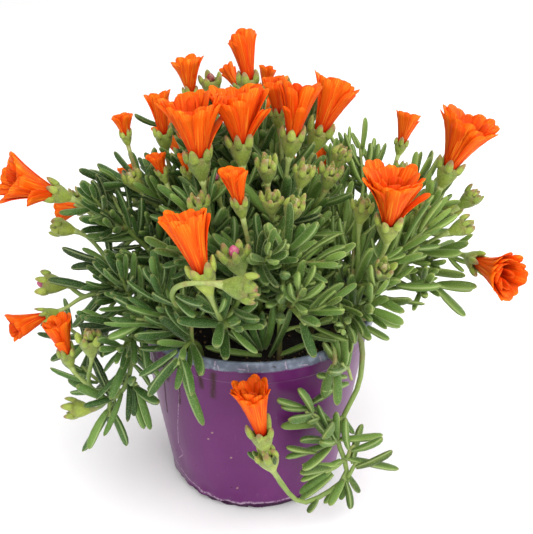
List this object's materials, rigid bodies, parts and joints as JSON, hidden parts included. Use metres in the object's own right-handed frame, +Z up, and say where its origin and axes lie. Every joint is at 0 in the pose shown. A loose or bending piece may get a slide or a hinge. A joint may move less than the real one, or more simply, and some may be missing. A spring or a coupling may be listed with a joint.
{
  "type": "potted trailing ice plant",
  "caption": "Bushy trailing ice plant in full orange bloom, growing in soil in a round tapered purple nursery pot, with stems that spill over the rim.",
  "frame": {"origin": "centre of the pot's flat underside, on the surface that it stands on", "axes": "+Z up along the pot's axis, -Y towards the front, where two stems trail over the rim, +X to the right"},
  "size_m": [0.2613, 0.2257, 0.2511],
  "materials": {
    "pot": "thin purple polypropylene, grey inside and on the lip, satin gloss",
    "soil": "moist dark peat with bark crumbs",
    "leaf": "fleshy green leaf with a fine papillose skin",
    "petal": "silky bright orange petal"
  },
  "bodies": {
    "root": {"pot": "pot", "soil": "soil", "stem_top": "leaf", "stem_top_left": "leaf", "stem_behind_top": "leaf", "stem_left_shoulder": "leaf", "stem_left_outer": "leaf", "stem_far_left": "leaf", "stem_big_left": "leaf", "stem_big_centre": "leaf", "stem_centre_right": "leaf", "stem_big_right": "leaf", "stem_right_shoulder": "leaf", "stem_right_back": "leaf", "stem_right_tall": "leaf", "stem_right_open": "leaf", "stem_right_end": "leaf", "stem_centre_small": "leaf", "stem_centre_left": "leaf", "stem_front_arch": "leaf", "stem_lower_left_out": "leaf", "stem_lower_left": "leaf", "stem_trailing_bloom": "leaf", "stem_trailing_leaves": "leaf", "stem_front_left": "leaf", "stem_front_centre": "leaf", "stem_front_right": "leaf", "stem_back_right": "leaf", "stem_back_centre": "leaf", "stem_back_left": "leaf", "stem_back_low": "leaf", "petals_top": "petal", "petals_top_left": "petal", "petals_behind_top": "petal", "petals_behind_top_2": "petal", "petals_left_shoulder": "petal", "petals_left_outer": "petal", "petals_left_outer_2": "petal", "petals_far_left": "petal", "petals_far_left_2": "petal", "petals_big_left": "petal", "petals_big_left_2": "petal", "petals_big_left_3": "petal", "petals_big_centre": "petal", "petals_centre_right": "petal", "petals_big_right": "petal", "petals_right_shoulder": "petal", "petals_right_back": "petal", "petals_right_tall": "petal", "petals_right_open": "petal", "petals_right_end": "petal", "petals_centre_small": "petal", "petals_centre_left": "petal", "petals_lower_left_out": "petal", "petals_lower_left": "petal", "petals_trailing_bloom": "petal", "petals_back_right": "petal", "petals_back_centre": "petal", "petals_back_left": "petal", "petals_back_low": "petal"}
  },
  "joints": []
}
